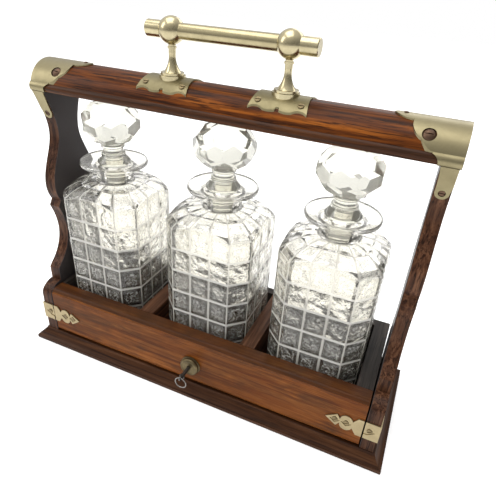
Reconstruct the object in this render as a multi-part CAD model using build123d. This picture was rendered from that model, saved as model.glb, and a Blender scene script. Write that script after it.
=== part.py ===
"""Antique tantalus: three cut-glass decanters locked under a carrying frame that swings back.

Millimetres, +Z up, the front is -Y, +X to the right. The origin is on the table, under the
middle of the plinth. The frame (two scroll uprights, a rounded rail and a metal handle) turns
on pins at the rear of the tray's end walls. The front flap drops forward on two end pins, and
its lock shoots two bolts sideways into the feet of the uprights, which holds flap and frame.
"""
import os
from math import cos, hypot, pi, radians, sin, sqrt

from build123d import *

# ---- decanters and their stoppers ----
DECANTER_W = 80.0          # across the flats of the square body
DECANTER_CHAMFER = 13.7    # cut corner, measured along each face
DECANTER_WALL = 5.0
DECANTER_FLOOR = 9.0
BODY_SHOULDER_H = 142.0    # foot to the start of the shoulder at the cut corners
SHOULDER_H = 12.5          # shoulder start to the foot of the neck
NECK_R = 16.2
NECK_RING_R = 17.6
NECK_RING_H = 3.4
NECK_RING_RISE = 7.0       # foot of the neck to its ring
LIP_R = 29.5
LIP_T = 3.8
NECK_H = 17.8              # foot of the neck to the top of the lip
CUT_ROWS = 7               # rows of square cuts, from the foot to the shoulder
CUT_ROW_H = 20.7
CUT_LOW_H = 21.4           # foot to the first groove between rows
CUT_COLUMNS = 3            # columns of square cuts on each face
CUT_DEPTH = 1.0            # depth of the V grooves between the cuts
DISH_R = 12.6              # flat ring round the mouth, at the bottom of the lip's dish
DISH_DEPTH = 4.2
STEM_FLANGE_R = 12.2       # stopper's flange, which sits on that ring
STEM_SKIRT_R = 14.2        # widest part of the cone above the flange
GRIND_R = 9.2              # stopper stem where it enters the neck
GRIND_TAPER = 0.9          # how much thinner the stem is at its lower end
GRIND_L = 21.0
GRIND_FIT = 0.08           # running clearance of the ground stem
STOPPER_R = 24.0           # half the width of the stopper's ball
STOPPER_HALF_H = 19.8
STOPPER_WAIST_R = 9.0
STOPPER_WAIST_H = 13.3     # lip top to the underside of the ball
FACETS_ROUND = 8

# ---- tray ----
SIDE_PLAY = 3.9            # decanter to divider
DEPTH_PLAY = 0.8           # decanter to flap and to back panel
LEFT_STAND = -0.9          # where each decanter stands in its bay, as a share of its play
MIDDLE_STAND = 0.9
RIGHT_STAND = 0.65
RAIL_PLAY = 2.7            # stopper to rail
DIVIDER_T = 13.1
RIGHT_WALL_T = 13.1
LEFT_WALL_T = 4.0          # the left end of the tray is closed by a thin board
PIN_SEAT = 0.85            # depth of the frame's pins in the end walls, as a share of their thickness
BACK_T = 8.5
TRAY_WALL_H = 49.9         # plinth top to the top of the tray walls
MAT_T = 0.8
FLAP_T = 14.5
BACK_SET = 1.4             # back panel's rear face to the rear of the uprights' feet
FLAP_GAP = 0.4             # flap to tray wall ends and to the plinth
MOVE_GAP = 0.3             # frame's feet to the plinth
FRAME_GAP = 1.2            # frame to end walls and to the flap's ends

# ---- plinth ----
PLINTH_H = 12.5
BAIZE_T = 0.8
PLINTH_STEP_X = 9.5        # how far the plinth stands out past the frame, sideways
PLINTH_STEP_Y = 8.0        # the same, to the front and back
MOULD_FILLET_H = 3.2       # square edge at the bottom of the moulding
MOULD_COVE_W = 7.6
MOULD_W = 18.0

# ---- carrying frame ----
UPRIGHT_T = 11.0
HEEL_R = 19.6              # rounded rear heel, centred on the frame's pivot
NOSE_RISE = 2.6            # top of the tray walls to the nose of the uprights' feet
NOSE_R = 12.0
RAIL_HALF_D = 21.5         # half depth of the rail's underside
BEAD_OUT = 1.7             # how far the bead bulges past the underside
CREASE_RISE = 6.7          # underside to the crease between bead and dome
DOME_R = 21.9
TENON_H = 9.0
TENON_W = 24.0
TENON_T = 5.0
PIVOT_R = 3.0
PIVOT_FIT = 0.06
BUSH_T = 1.5
STOP_PIN_R = 2.0
STOP_ARM = 14.0            # frame pivot to stop pin
STOP_START = 150.0         # direction of the stop pin from the pivot, from +Y towards +Z
STOP_SLOT_FIT = 0.12
FRAME_SWING = 55.0         # how far the frame leans back

# ---- flap and its end pins ----
HINGE_R = 4.0              # rounded lower front edge, centred on the flap's pins
FLAP_PIN_R = 1.5
FLAP_PIN_FIT = 0.06
FLAP_PIN_L = 11.0
FLAP_SWING = 60.0          # how far the flap drops
LUG_T = 3.5
LUG_R = 2.8
LUG_GAP = 0.35
LUG_TANG = 5.0
FLAP_HEEL_CHAMFER = 2.0
FLAP_TOP_R = 3.4

# ---- lock ----
LOCK_RISE = 0.418          # height of the lock on the flap, as a share of the flap's height
COLLAR_R = 9.2
COLLAR_OUT = 4.8
CASE_HALF_L = 36.0
CASE_HALF_H = 11.5
CASE_DEPTH = 10.0
CASE_T = 1.2
PINION_TEETH = 12
TOOTH_MODULE = 0.75
TOOTH_TIP = 0.8            # pitch line to tip, in modules
TOOTH_SHARE = 0.36         # tooth width over pitch, at the pitch line
GEAR_T = 3.0
ARBOR_FIT = 0.06
BOLT_R = 2.5
BOLT_FIT = 0.06
BOLT_HIDE = 1.0            # bolt end to flap end when it is drawn back
KEY_R = 1.6
KEY_FIT = 0.08
KEY_BIT_R = 3.1
KEY_BIT_T = 1.3
KEY_OUT = 15.5             # key end past the collar
KEY_RING_R = 5.2           # to the middle of the wire
KEY_WIRE_R = 0.55
KEY_EYE_R = 0.9
KEY_EYE_T = 1.4

# ---- metal mounts ----
PLATE_T = 1.0
STRAP_H = 18.0
STRAP_L = 30.0
STRAP_RISE = 0.447         # height of the straps' middle on the flap, as a share
STRAP_WRAP = 12.0          # how far the upright's strap goes round its corner
SCREW_R = 2.3
SCREW_HEAD_H = 0.7
SLOT_W = 0.7
CAP_L = 46.0               # rail end to the cap's tip
CAP_SCREW_R = 4.2
CAP_SCREW_X = 22.0         # from the rail end
CAP_SCREW_ANGLE = 46.0     # round the dome from its top
CAP_TAIL = 0.2             # cap's lobe down the upright's upper scroll, as a share of it
CAP_TIP_SCREW_X = 39.0     # from the rail end
CAP_TIP_SCREW_R = 1.5
LOBE_SCREW_R = 2.4
LOBE_R = 4.6

# ---- handle ----
POST_X = 45.3
BALL_R = 9.7
BAR_RISE = 32.2            # dome top to the middle of the bar
BAR_R = 5.6
ROD_R = 3.8
BAR_PAST_POST = 19.9       # post to the end of the bar's stub
STUB_R = 6.0
POST_BASE_R = 10.0
POST_NECK_R = 2.7
POST_STUD_R = 2.0
POST_STUD_L = 9.0
HANDLE_PLATE_HALF = 21.2
HANDLE_SCREW_X = 15.5
HANDLE_SCREW_ANGLE = 34.0

# ---- places worked out from the sizes above ----
LIP_H = BODY_SHOULDER_H + SHOULDER_H + NECK_H
MOUTH_H = LIP_H - DISH_DEPTH
BAR_HALF_L = POST_X + BAR_PAST_POST
BAY_W = DECANTER_W + 2 * SIDE_PLAY
BAY_STEP = BAY_W + DIVIDER_T
WALL_X = (LEFT_WALL_T + 3 * BAY_W + 2 * DIVIDER_T + RIGHT_WALL_T) / 2
MIDDLE_BAY_X = LEFT_WALL_T + BAY_STEP + BAY_W / 2 - WALL_X
UPRIGHT_IN_X = WALL_X + FRAME_GAP
BODY_X = UPRIGHT_IN_X + UPRIGHT_T
PLINTH_X = BODY_X + PLINTH_STEP_X
FOOT_HALF_D = (FLAP_T + DECANTER_W + 2 * DEPTH_PLAY + BACK_T + BACK_SET) / 2
FRONT_Y = -FOOT_HALF_D
PLINTH_Y = FOOT_HALF_D + PLINTH_STEP_Y
FLAP_BACK_Y = FRONT_Y + FLAP_T
TRAY_FRONT_Y = FLAP_BACK_Y + FLAP_GAP
BACK_IN_Y = FLAP_BACK_Y + DECANTER_W + 2 * DEPTH_PLAY
BACK_OUT_Y = BACK_IN_Y + BACK_T
DECANTER_Y = (FLAP_BACK_Y + BACK_IN_Y) / 2
WALL_TOP_Z = PLINTH_H + TRAY_WALL_H
FLAP_BOTTOM_Z = PLINTH_H + FLAP_GAP
HINGE_Y = FRONT_Y + HINGE_R
HINGE_Z = FLAP_BOTTOM_Z + HINGE_R
DECANTER_Z = PLINTH_H + MAT_T
LOCK_Z = FLAP_BOTTOM_Z + LOCK_RISE * (WALL_TOP_Z - FLAP_BOTTOM_Z)
STRAP_Z = FLAP_BOTTOM_Z + STRAP_RISE * (WALL_TOP_Z - FLAP_BOTTOM_Z)
FOOT_Z = PLINTH_H + MOVE_GAP
PIVOT_Y = FOOT_HALF_D - HEEL_R
PIVOT_Z = FOOT_Z + HEEL_R
STOPPER_TOP_Z = DECANTER_Z + LIP_H + STOPPER_WAIST_H + 2 * STOPPER_HALF_H
RAIL_BOTTOM_Z = STOPPER_TOP_Z + RAIL_PLAY
NOSE_TOP_Z = WALL_TOP_Z + NOSE_RISE
CREASE_Z = RAIL_BOTTOM_Z + CREASE_RISE
DOME_Z = CREASE_Z - sqrt(DOME_R**2 - (RAIL_HALF_D - 0.6) ** 2)
DOME_TOP_Z = DOME_Z + DOME_R
BAR_Z = DOME_TOP_Z + BAR_RISE
PITCH_R = PINION_TEETH * TOOTH_MODULE / 2
BOLT_Y = FLAP_BACK_Y - CASE_DEPTH / 2
BOLT_TRAVEL = PITCH_R * pi / 2
CHAMFER_FACE = DECANTER_W - 2 * DECANTER_CHAMFER
BAY_XS = {"left": MIDDLE_BAY_X - BAY_STEP, "middle": MIDDLE_BAY_X, "right": MIDDLE_BAY_X + BAY_STEP}
STANDS = {"left": LEFT_STAND, "middle": MIDDLE_STAND, "right": RIGHT_STAND}
DECANTER_XS = {name: x + STANDS[name] * SIDE_PLAY for name, x in BAY_XS.items()}
SIDES = {"left": -1, "right": 1}
WALL_TS = {-1: LEFT_WALL_T, 1: RIGHT_WALL_T}


def block(x0, x1, y0, y1, z0, z1):
    """Box between two corners."""
    middle = Pos((x0 + x1) / 2, (y0 + y1) / 2, (z0 + z1) / 2)
    return middle * Box(abs(x1 - x0), abs(y1 - y0), abs(z1 - z0))


def rod_x(x0, x1, y, z, r):
    """Round rod along X."""
    return Pos((x0 + x1) / 2, y, z) * Rot(0, 90, 0) * Cylinder(r, abs(x1 - x0))


def rod_y(x, y0, y1, z, r):
    """Round rod along Y."""
    return Pos(x, (y0 + y1) / 2, z) * Rot(90, 0, 0) * Cylinder(r, abs(y1 - y0))


def prism_x(face_yz, x0, x1):
    """Extrude a face drawn in the Y-Z plane from x0 to x1."""
    return extrude(Pos(x0, 0, 0) * face_yz, amount=x1 - x0, dir=(1, 0, 0))


def mirrored(shape, side):
    """The shape as modelled on the right (+X), or its mirror image for the left."""
    return shape if side > 0 else mirror(shape, about=Plane.YZ)


def pick(shape):
    """The one solid of a shape."""
    return max(shape.solids(), key=lambda s: s.volume)


# ---------------------------------------------------------------- plinth and tray


def mould_section():
    """Moulding section: u runs inwards from the outer edge, z up."""
    u_top = MOULD_COVE_W
    step = 0.8
    pts = [(0, BAIZE_T), (0, BAIZE_T + MOULD_FILLET_H), (step, BAIZE_T + MOULD_FILLET_H)]
    cove = ThreePointArc(
        (step, BAIZE_T + MOULD_FILLET_H),
        (step + 0.6 * (u_top - step), BAIZE_T + MOULD_FILLET_H + 0.42 * (PLINTH_H - MOULD_FILLET_H - BAIZE_T)),
        (u_top, PLINTH_H),
    )
    outline = Polyline(*pts) + cove
    outline += Polyline((u_top, PLINTH_H), (MOULD_W, PLINTH_H), (MOULD_W, BAIZE_T), (0, BAIZE_T))
    return make_face(outline.edges())


def moulding(half_len, half_depth):
    """Moulding along X at -Y, mitred at both ends."""
    plane = Plane(origin=(-half_len, -half_depth, 0), x_dir=(0, 1, 0), z_dir=(1, 0, 0))
    strip = extrude(plane * mould_section(), amount=2 * half_len)
    top = PLINTH_H + 1
    corners = [(-half_len, -half_depth), (half_len, -half_depth)]
    corners += [(half_len - MOULD_W, -half_depth + MOULD_W), (-half_len + MOULD_W, -half_depth + MOULD_W)]
    mitre = extrude(make_face(Polyline(*corners, close=True)), amount=top)
    return strip & mitre


def plinth():
    """Four mitred mouldings round a base board, with baize under them."""
    front = moulding(PLINTH_X, PLINTH_Y)
    side = moulding(PLINTH_Y, PLINTH_X)
    for sx in (-1, 1):
        x = sx * lug_x()
        front -= block(x - LUG_T / 2, x + LUG_T / 2, HINGE_Y, HINGE_Y + LUG_R, PLINTH_H - LUG_TANG, PLINTH_H)
    yield "plinth_front", front
    yield "plinth_back", Rot(0, 0, 180) * moulding(PLINTH_X, PLINTH_Y)
    yield "plinth_left", Rot(0, 0, -90) * side
    yield "plinth_right", Rot(0, 0, 90) * side
    inner_x = PLINTH_X - MOULD_W
    inner_y = PLINTH_Y - MOULD_W
    yield "base_board", block(-inner_x, inner_x, -inner_y, inner_y, BAIZE_T, PLINTH_H)
    edge = 2.0
    yield "base_baize", block(-PLINTH_X + edge, PLINTH_X - edge, -PLINTH_Y + edge, PLINTH_Y - edge, 0, BAIZE_T)


def wall_in_x(side):
    """Inner face of an end wall: side is -1 for the left one, 1 for the right one."""
    return side * (WALL_X - WALL_TS[side])


def pin_in_x(side):
    """Inner end of the frame's pins, which are let into an end wall from outside."""
    return side * (WALL_X - PIN_SEAT * WALL_TS[side])


def end_wall(side):
    """End wall of the tray, bored for the frame's pivot pin and the stop pin."""
    wall = block(wall_in_x(side), side * WALL_X, TRAY_FRONT_Y, BACK_OUT_Y, PLINTH_H, WALL_TOP_Z)
    wall -= rod_x(pin_in_x(side), side * WALL_X, PIVOT_Y, PIVOT_Z, PIVOT_R)
    y, z = stop_place()
    return wall - rod_x(pin_in_x(side), side * WALL_X, y, z, STOP_PIN_R)


def tray():
    """End walls, back panel, dividers and the mats that the decanters stand on."""
    for name, side in SIDES.items():
        yield f"tray_end_{name}", end_wall(side)
        x = MIDDLE_BAY_X + side * BAY_STEP / 2
        divider = block(x - DIVIDER_T / 2, x + DIVIDER_T / 2, TRAY_FRONT_Y, BACK_IN_Y, PLINTH_H, WALL_TOP_Z)
        yield f"divider_{name}", divider
    yield "tray_back", block(wall_in_x(-1), wall_in_x(1), BACK_IN_Y, BACK_OUT_Y, PLINTH_H, WALL_TOP_Z)
    half = BAY_W / 2 - 0.5
    mats = [block(x - half, x + half, TRAY_FRONT_Y + 0.5, BACK_IN_Y - 0.5, PLINTH_H, DECANTER_Z)
            for x in BAY_XS.values()]
    yield "floor_mats", Compound(mats)


# ---------------------------------------------------------------- carrying frame


def stop_place(turn=0.0):
    """Y and Z of the stop pin, turned about the pivot as the frame sees it."""
    a = radians(STOP_START + turn)
    return PIVOT_Y + STOP_ARM * cos(a), PIVOT_Z + STOP_ARM * sin(a)


def scroll_point(sign, depth, height):
    """Point of an upright's edge: depth as a share of the foot's, height from nose (0) to rail (1)."""
    return 0, sign * depth * FOOT_HALF_D, NOSE_TOP_Z + height * (RAIL_BOTTOM_Z - NOSE_TOP_Z)


def upper_scroll(sign):
    """Upper scroll of the front (sign -1) or back edge, from the rail down to the cusp."""
    return Spline(
        (0, sign * (RAIL_HALF_D + 0.9), RAIL_BOTTOM_Z),
        scroll_point(sign, 0.268, 0.874),
        scroll_point(sign, 0.234, 0.778),
        scroll_point(sign, 0.351, 0.675),
        scroll_point(sign, 0.477, 0.573),
        scroll_point(sign, 0.415, 0.448),
    )


def lower_scroll(sign):
    """Cusp, lower scroll and the square step above the foot's nose."""
    cusp = Line(scroll_point(sign, 0.415, 0.448), scroll_point(sign, 0.481, 0.417))
    low = Spline(
        scroll_point(sign, 0.481, 0.417),
        scroll_point(sign, 0.392, 0.335),
        scroll_point(sign, 0.372, 0.255),
        scroll_point(sign, 0.453, 0.170),
        scroll_point(sign, 0.651, 0.094),
    )
    step = Polyline(scroll_point(sign, 0.651, 0.094), scroll_point(sign, 0.721, 0.071), scroll_point(sign, 0.721, 0))
    return [cusp, low] + step.edges()


def nose(sign):
    """Rounded nose between the step and the foot's straight face."""
    return Spline(
        scroll_point(sign, 0.721, 0),
        (0, sign * 0.896 * FOOT_HALF_D, WALL_TOP_Z),
        (0, sign * FOOT_HALF_D, NOSE_TOP_Z - NOSE_R),
        tangents=((0, sign, 0.05), (0, 0, -1)),
    )


def upright_face():
    """Side view of an upright: scrolls above, rounded nose and square foot below."""
    edges = []
    for s in (-1, 1):
        edges.append(upper_scroll(s))
        edges.extend(lower_scroll(s))
        edges.append(nose(s))
    low_z = NOSE_TOP_Z - NOSE_R
    half = HEEL_R * cos(pi / 4)
    edges.append(ThreePointArc((0, PIVOT_Y, FOOT_Z), (0, PIVOT_Y + half, PIVOT_Z - half), (0, FOOT_HALF_D, PIVOT_Z)))
    edges.append(Line((0, -FOOT_HALF_D, low_z), (0, -FOOT_HALF_D, FOOT_Z)))
    edges.append(Line((0, -FOOT_HALF_D, FOOT_Z), (0, PIVOT_Y, FOOT_Z)))
    edges.append(Line((0, FOOT_HALF_D, PIVOT_Z), (0, FOOT_HALF_D, low_z)))
    edges.append(Line((0, -RAIL_HALF_D - 0.9, RAIL_BOTTOM_Z), (0, RAIL_HALF_D + 0.9, RAIL_BOTTOM_Z)))
    return make_face(edges)


def stop_slot():
    """Curved slot in the right upright's inner face, in which the stop pin runs."""
    r = STOP_PIN_R + STOP_SLOT_FIT
    spare = 1.0
    arc = CenterArc((0, 0), STOP_ARM, STOP_START - spare, FRAME_SWING + 2 * spare)
    ring = Circle(STOP_ARM + r) - Circle(STOP_ARM - r)
    wedge_pts = [(0, 0)]
    for i in range(5):
        a = radians(STOP_START - spare + i * (FRAME_SWING + 2 * spare) / 4)
        wedge_pts.append((2 * STOP_ARM * cos(a), 2 * STOP_ARM * sin(a)))
    slot = ring & make_face(Polyline(*wedge_pts, close=True))
    slot += [Pos(*(arc @ t)) * Circle(r) for t in (0, 1)]
    plane = Plane(origin=(UPRIGHT_IN_X, PIVOT_Y, PIVOT_Z), x_dir=(0, 1, 0), z_dir=(1, 0, 0))
    return extrude(plane * slot, amount=5.5)


def upright():
    """Right upright: bored for its bush, the stop pin's slot and the lock bolt."""
    body = prism_x(upright_face(), UPRIGHT_IN_X, BODY_X)
    body -= rod_x(UPRIGHT_IN_X, UPRIGHT_IN_X + 9, PIVOT_Y, PIVOT_Z, bush_r())
    body -= stop_slot()
    socket_depth = BOLT_TRAVEL - BOLT_HIDE - FRAME_GAP + 1.2
    body -= rod_x(UPRIGHT_IN_X, UPRIGHT_IN_X + socket_depth, BOLT_Y, LOCK_Z, BOLT_R + 0.25)
    tenon = block(tenon_x() - TENON_T / 2, tenon_x() + TENON_T / 2, -TENON_W / 2, TENON_W / 2,
                  RAIL_BOTTOM_Z, RAIL_BOTTOM_Z + TENON_H)
    return pick(body + tenon)


def bush_r():
    """Outer radius of the bush in the upright."""
    return PIVOT_R + PIVOT_FIT + BUSH_T


def tenon_x():
    """Middle of the upright's thickness."""
    return UPRIGHT_IN_X + UPRIGHT_T / 2


def rail_face(grow=0.0):
    """Rail section with bead and dome, grown outwards for the metal that wraps it."""
    crease_y = RAIL_HALF_D - 0.6
    bead_mid = (RAIL_BOTTOM_Z + CREASE_Z) / 2
    dome = ThreePointArc((0, -crease_y, CREASE_Z), (0, 0, DOME_TOP_Z), (0, crease_y, CREASE_Z))
    edges = [dome, Line((0, -RAIL_HALF_D, RAIL_BOTTOM_Z), (0, RAIL_HALF_D, RAIL_BOTTOM_Z))]
    for s in (-1, 1):
        edges.append(ThreePointArc((0, s * RAIL_HALF_D, RAIL_BOTTOM_Z),
                                   (0, s * (RAIL_HALF_D + BEAD_OUT), bead_mid), (0, s * crease_y, CREASE_Z)))
    face = make_face(edges)
    if grow:
        face = offset(face, amount=grow, kind=Kind.INTERSECTION)
    return face


def rail():
    """Top rail with mortises for the uprights' tenons and holes for the handle studs."""
    body = prism_x(rail_face(), -BODY_X, BODY_X)
    for s in (-1, 1):
        x = s * tenon_x()
        body -= block(x - TENON_T / 2, x + TENON_T / 2, -TENON_W / 2, TENON_W / 2, RAIL_BOTTOM_Z,
                      RAIL_BOTTOM_Z + TENON_H)
        body -= Pos(s * POST_X, 0, DOME_TOP_Z - POST_STUD_L / 2) * Cylinder(POST_STUD_R, POST_STUD_L)
    return body


def dome_plane(x, angle, out=0.0):
    """Plane on the dome at x, turned by angle from the top towards -Y, normal outwards."""
    a = radians(angle)
    r = DOME_R + out
    return Plane(origin=(x, -r * sin(a), DOME_Z + r * cos(a)), x_dir=(1, 0, 0), z_dir=(0, -sin(a), cos(a)))


def cap_point(along, across):
    """Point of the cap's plan: along from the rail end in cap lengths, across in rail half depths."""
    return BODY_X - along * CAP_L, across * RAIL_HALF_D


def cap_plan():
    """Cap seen from above: an ogee edge that comes to a point on top of the rail."""
    end = BODY_X + PLATE_T
    side = 1.4 * RAIL_HALF_D
    half = []
    for s in (-1, 1):
        half.append(ThreePointArc(cap_point(1, 0), cap_point(0.90, 0.25 * s), cap_point(0.71, 0.37 * s)))
        half.append(ThreePointArc(cap_point(0.71, 0.37 * s), cap_point(0.70, 0.63 * s), cap_point(0.565, 0.856 * s)))
        half.append(ThreePointArc(cap_point(0.565, 0.856 * s), cap_point(0.49, 0.96 * s), cap_point(0.38, 1.005 * s)))
        half.append(Polyline(cap_point(0.38, 1.005 * s), cap_point(0.38, 1.4 * s), (end, s * side)))
    edges = [e for item in half for e in item.edges()]
    edges.append(Line((end, -side), (end, side)))
    return make_face(edges)


def lobe_spot(sign):
    """Point of the upright's edge where the cap's lobe has its screw, and the edge's direction."""
    scroll = upper_scroll(sign)
    return scroll @ CAP_TAIL, scroll % CAP_TAIL


def cap_front():
    """Cap seen from the front: it narrows at the bead, follows the upright, ends in a lobe."""
    inner = UPRIGHT_IN_X
    lobe_z = lobe_spot(-1)[0].Z
    mid = tenon_x()
    top = DOME_TOP_Z + 5
    far = BODY_X - 1.3 * CAP_L
    shoulder = BODY_X - 0.38 * CAP_L
    outer = BODY_X + PLATE_T
    arm_z = (RAIL_BOTTOM_Z + lobe_z) / 2
    outline = [
        Polyline((far, top), (far, CREASE_Z), (shoulder, CREASE_Z)),
        ThreePointArc((shoulder, CREASE_Z), (inner - 2.6, (CREASE_Z + RAIL_BOTTOM_Z) / 2), (inner - 2.2, RAIL_BOTTOM_Z)),
        Line((inner - 2.2, RAIL_BOTTOM_Z), (inner, RAIL_BOTTOM_Z)),
        ThreePointArc((inner, RAIL_BOTTOM_Z), (inner + 0.9, arm_z), (mid - LOBE_R, lobe_z)),
        ThreePointArc((mid - LOBE_R, lobe_z), (mid, lobe_z - LOBE_R), (mid + LOBE_R, lobe_z)),
        Polyline((mid + LOBE_R, lobe_z), (BODY_X, arm_z - 4), (outer, arm_z), (outer, top), (far, top)),
    ]
    face = make_face([e for item in outline for e in item.edges()])
    return extrude(Plane.XZ * face, amount=2 * RAIL_HALF_D, both=True)


def cap():
    """Right corner cap: sheet over the rail's end, and down both edges of the upright."""
    x0 = BODY_X - CAP_L - 1
    over_rail = prism_x(rail_face(PLATE_T) - rail_face(), x0, BODY_X)
    over_rail &= extrude(cap_plan(), amount=DOME_TOP_Z + 5)
    over_rail -= block(x0, BODY_X, -40, 40, RAIL_BOTTOM_Z - 5, RAIL_BOTTOM_Z)
    end = prism_x(rail_face(PLATE_T), BODY_X, BODY_X + PLATE_T)
    end -= block(BODY_X - 1, BODY_X + 3, -40, 40, RAIL_BOTTOM_Z - 5, RAIL_BOTTOM_Z)
    body = (over_rail + end + cap_tail(-1) + cap_tail(1)) & cap_front()
    for angle in (CAP_SCREW_ANGLE, -CAP_SCREW_ANGLE):
        body -= dome_plane(BODY_X - CAP_SCREW_X, angle) * Cylinder(CAP_SCREW_R + 0.15, 6)
    for sign in (-1, 1):
        body -= lobe_plane(sign, 0) * Cylinder(LOBE_SCREW_R, 6)
    return body


def cap_tail(sign):
    """Strip of the cap that follows the front (sign -1) or back edge of the upright."""
    scroll = upper_scroll(sign)
    skin = Pos(0, sign * PLATE_T, 0) * scroll
    ends = [Line(scroll @ t, skin @ t) for t in (0, 1)]
    strip = prism_x(make_face([scroll, skin] + ends), UPRIGHT_IN_X, BODY_X)
    low_z = lobe_spot(sign)[0].Z - LOBE_R
    return strip & block(UPRIGHT_IN_X, BODY_X, -2 * RAIL_HALF_D, 2 * RAIL_HALF_D, low_z, RAIL_BOTTOM_Z)


def lobe_plane(sign, out):
    """Plane of the lobe's screw on the right upright's edge, its normal outwards."""
    spot, run = lobe_spot(sign)
    normal = Vector(0, -run.Z, run.Y) * -sign
    if normal.Y * sign < 0:
        normal = -normal
    return Plane(origin=Vector(tenon_x(), spot.Y, spot.Z) + normal * out, x_dir=(1, 0, 0), z_dir=normal)


def slotted_head(r, h):
    """Domed screw head with a slot, seated on z = 0."""
    rise = Pos(0, 0, h - (r**2 + h**2) / (2 * h)) * Sphere((r**2 + h**2) / (2 * h))
    head = rise & Pos(0, 0, h / 2) * Cylinder(r, h)
    return pick(head - Pos(0, 0, h) * Box(3 * r, SLOT_W, h))


def flat_screw(r, h):
    """Flat screw head with a bevelled rim and a slot, seated on z = 0."""
    head = Pos(0, 0, h / 2) * Cylinder(r, h)
    head = chamfer(head.edges().group_by(Axis.Z)[-1], 0.4 * h)
    return pick(head - Pos(0, 0, h) * Box(3 * r, SLOT_W, 1.2 * h))


def cap_screws():
    """Screws of both caps: large ones on the dome, small ones at the tips and in the lobes."""
    heads = []
    for angle in (CAP_SCREW_ANGLE, -CAP_SCREW_ANGLE):
        heads.append(dome_plane(BODY_X - CAP_SCREW_X, angle) * slotted_head(CAP_SCREW_R, 1.8))
    cover = rod_x(-BODY_X, BODY_X, 0, DOME_Z, DOME_R + PLATE_T)
    tip = dome_plane(BODY_X - CAP_TIP_SCREW_X, 0, PLATE_T - 0.2) * flat_screw(CAP_TIP_SCREW_R, 0.8)
    heads.append(pick(tip - cover))
    for sign in (-1, 1):
        head = lobe_plane(sign, -0.1) * flat_screw(LOBE_SCREW_R - 0.1, 0.9)
        heads.append(pick(head - upright()))
    return Compound(heads + [mirrored(head, -1) for head in heads])


# ---------------------------------------------------------------- handle


def handle_plate():
    """Saddle plate under a post: ogee edges, pointed corners and a small mid notch."""
    w = HANDLE_PLATE_HALF
    edges = []
    for sy in (-1, 1):
        d = sy * DOME_R
        for sx in (-w, w):
            edges.append(ThreePointArc((sx, 0.795 * d), (0.76 * sx, 0.73 * d), (0.5 * sx, 0.785 * d)))
            edges.append(ThreePointArc((0.5 * sx, 0.785 * d), (0.28 * sx, 0.8 * d), (0, 0.763 * d)))
    for sx in (-w, w):
        edges.append(ThreePointArc((sx, -0.795 * DOME_R), (0.9 * sx, 0), (sx, 0.795 * DOME_R)))
    plan = make_face(edges)
    for sy in (-1, 1):
        plan -= Pos(0, sy * 0.776 * DOME_R) * Circle(0.07 * w)
    shell = prism_x(Plane.YZ * (Circle(DOME_R + PLATE_T) - Circle(DOME_R)), -w - 1, w + 1)
    shell = Pos(0, 0, DOME_Z) * shell & extrude(plan, amount=DOME_TOP_Z + 5)
    shell &= block(-w - 1, w + 1, -30, 30, CREASE_Z, DOME_TOP_Z + 5)
    return pick(shell - Pos(0, 0, DOME_TOP_Z) * Cylinder(POST_STUD_R, 6))


def post():
    """Turned post: stepped foot seated on the plate, flared stem, collar under the ball."""
    z0 = DOME_TOP_Z + PLATE_T
    z_ring = z0 + 1.1
    z_neck = BAR_Z - BALL_R - 2.2
    stem = Spline((6.6, z_ring + 1.8), (3.5, z_ring + 7.5), (POST_NECK_R, z_neck - 3))
    r = POST_BASE_R
    outline = Polyline((0, z0 - 4), (r, z0 - 4), (r, z_ring), (r - 1.2, z_ring), (r - 1.2, z_ring + 1.8),
                       (6.6, z_ring + 1.8)).edges() + stem.edges()
    outline += Polyline((POST_NECK_R, z_neck - 3), (POST_NECK_R, z_neck), (3.4, z_neck), (3.4, z_neck + 1.4),
                        (POST_NECK_R, z_neck + 1.4), (POST_NECK_R, BAR_Z - BALL_R + 1.5),
                        (0, BAR_Z - BALL_R + 1.5), (0, z0 - 4)).edges()
    body = revolve(Plane.XZ * make_face(outline), axis=Axis.Z)
    saddle = rod_x(-30, 30, 0, DOME_Z, DOME_R + PLATE_T)
    stud = Pos(0, 0, DOME_TOP_Z + PLATE_T - (POST_STUD_L + PLATE_T) / 2) * Cylinder(
        POST_STUD_R, POST_STUD_L + PLATE_T)
    return pick((body - saddle) + stud)


def bar():
    """Handle bar: full size between the balls, thinner where it passes through them."""
    inner = POST_X - 7.4
    body = rod_x(-inner, inner, 0, BAR_Z, BAR_R)
    end = BAR_HALF_L - 4
    return body + rod_x(-end, end, 0, BAR_Z, ROD_R)


def stub():
    """Right end stub, screwed on to the rod outside the ball."""
    x0 = POST_X + 7.2
    body = rod_x(x0, BAR_HALF_L, 0, BAR_Z, STUB_R)
    body = chamfer(body.edges().group_by(Axis.X)[-1], 0.5)
    return body - rod_x(x0, BAR_HALF_L - 4, 0, BAR_Z, ROD_R)


def handle():
    """Plates, posts, balls, bar and stubs, on both sides."""
    rod = bar()
    yield "handle_bar", rod
    heads = []
    for name, side in SIDES.items():
        at = Pos(side * POST_X, 0, 0)
        column = at * post()
        end = mirrored(stub(), side)
        ball = Pos(side * POST_X, 0, BAR_Z) * Sphere(BALL_R)
        yield f"handle_plate_{name}", at * handle_plate()
        yield f"handle_post_{name}", column
        yield f"handle_ball_{name}", pick(ball - rod - end - column)
        yield f"handle_end_{name}", end
        for sx in (-1, 1):
            for angle in (HANDLE_SCREW_ANGLE, -HANDLE_SCREW_ANGLE):
                plane = dome_plane(side * POST_X + sx * HANDLE_SCREW_X, angle, PLATE_T - 0.2)
                heads.append(plane * flat_screw(SCREW_R, SCREW_HEAD_H + 0.2))
    saddle = rod_x(-BODY_X, BODY_X, 0, DOME_Z, DOME_R + PLATE_T)
    yield "handle_plate_screws", Compound([pick(h - saddle) for h in heads])


# ---------------------------------------------------------------- flap, straps and hinge


def lug_x():
    """Middle of the hinge lug, close to the flap's end."""
    return WALL_X - LUG_T / 2 - LUG_GAP


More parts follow.
